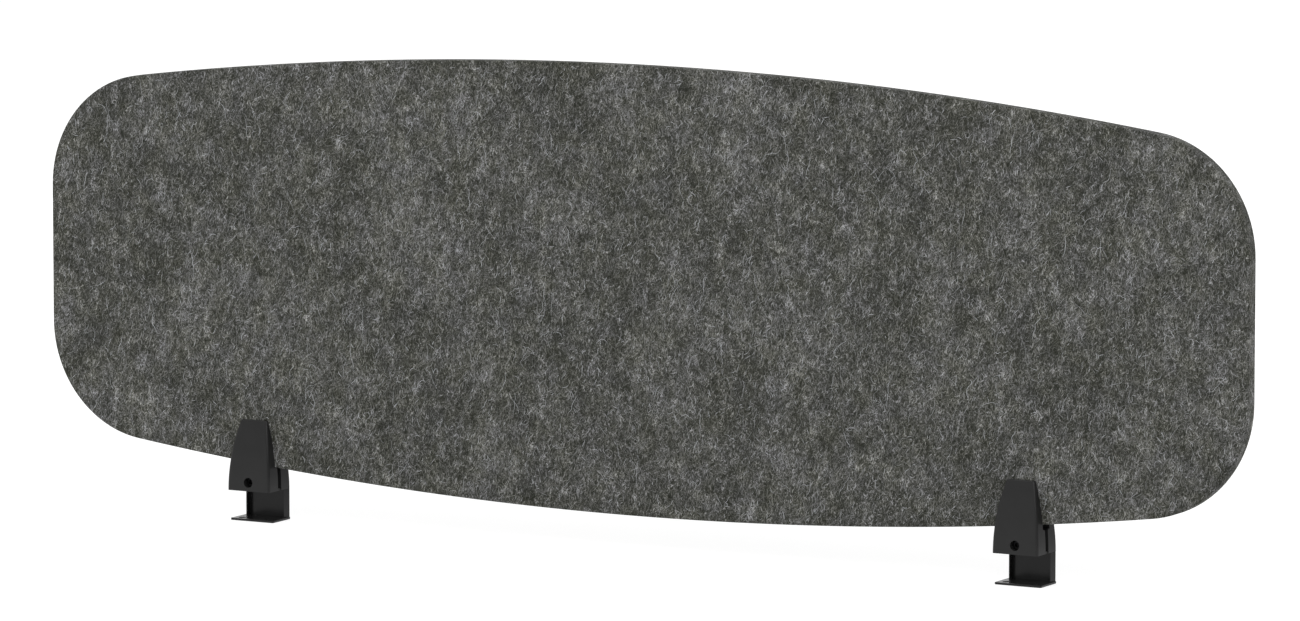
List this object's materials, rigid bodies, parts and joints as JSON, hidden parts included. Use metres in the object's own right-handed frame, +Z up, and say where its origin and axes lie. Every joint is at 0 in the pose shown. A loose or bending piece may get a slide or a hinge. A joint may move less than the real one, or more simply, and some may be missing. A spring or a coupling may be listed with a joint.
{
  "type": "desk acoustic panel",
  "caption": "Bowed felt acoustic board held upright by screw clamps whose brackets hook over a desk edge.",
  "frame": {"origin": "under the middle of the board, on the surface that the two feet stand on", "axes": "+X along the board, +Y from its front to its back, +Z up"},
  "size_m": [1.2, 0.0374, 0.4303],
  "materials": {
    "felt": "pressed polyester felt, mottled charcoal",
    "jaw_plastic": "moulded black, fine satin texture",
    "bracket_coat": "black powder coat on cast metal",
    "black_steel": "black oxide",
    "zinc_steel": "zinc plated"
  },
  "bodies": {
    "clamp_base": {"left_rear_jaw": "jaw_plastic", "left_desk_bracket": "bracket_coat", "left_grip_nut": "zinc_steel", "left_bracket_screws": "black_steel", "right_rear_jaw": "jaw_plastic", "right_desk_bracket": "bracket_coat", "right_grip_nut": "zinc_steel", "right_bracket_screws": "black_steel"},
    "board": {"felt_panel": "felt"},
    "left_jaw": {"left_front_jaw": "jaw_plastic"},
    "right_jaw": {"right_front_jaw": "jaw_plastic"},
    "left_screw": {"left_grip_screw": "black_steel"},
    "right_screw": {"right_grip_screw": "black_steel"}
  },
  "joints": [
    {"name": "board_lift", "type": "slide", "parent": "clamp_base", "child": "board", "axis": [0, 0, 1], "range_m": [0, 0.045]},
    {"name": "left_jaw_open", "type": "slide", "parent": "clamp_base", "child": "left_jaw", "axis": [0, -1, 0], "range_m": [0, 0.0024]},
    {"name": "right_jaw_open", "type": "slide", "parent": "clamp_base", "child": "right_jaw", "axis": [0, -1, 0], "range_m": [0, 0.0024]},
    {"name": "left_screw_turn", "type": "hinge", "parent": "left_jaw", "child": "left_screw", "pos_m": [-0.3855, -0.0087, 0.03585], "axis": [0, -1, 0], "range_deg": [0, 1080]},
    {"name": "right_screw_turn", "type": "hinge", "parent": "right_jaw", "child": "right_screw", "pos_m": [0.3855, -0.0087, 0.03585], "axis": [0, -1, 0], "range_deg": [0, 1080]}
  ],
  "couplings": [
    {"joint": "left_screw_turn", "follows": "left_jaw_open", "rad_per_m": 7854},
    {"joint": "right_screw_turn", "follows": "right_jaw_open", "rad_per_m": 7854}
  ]
}
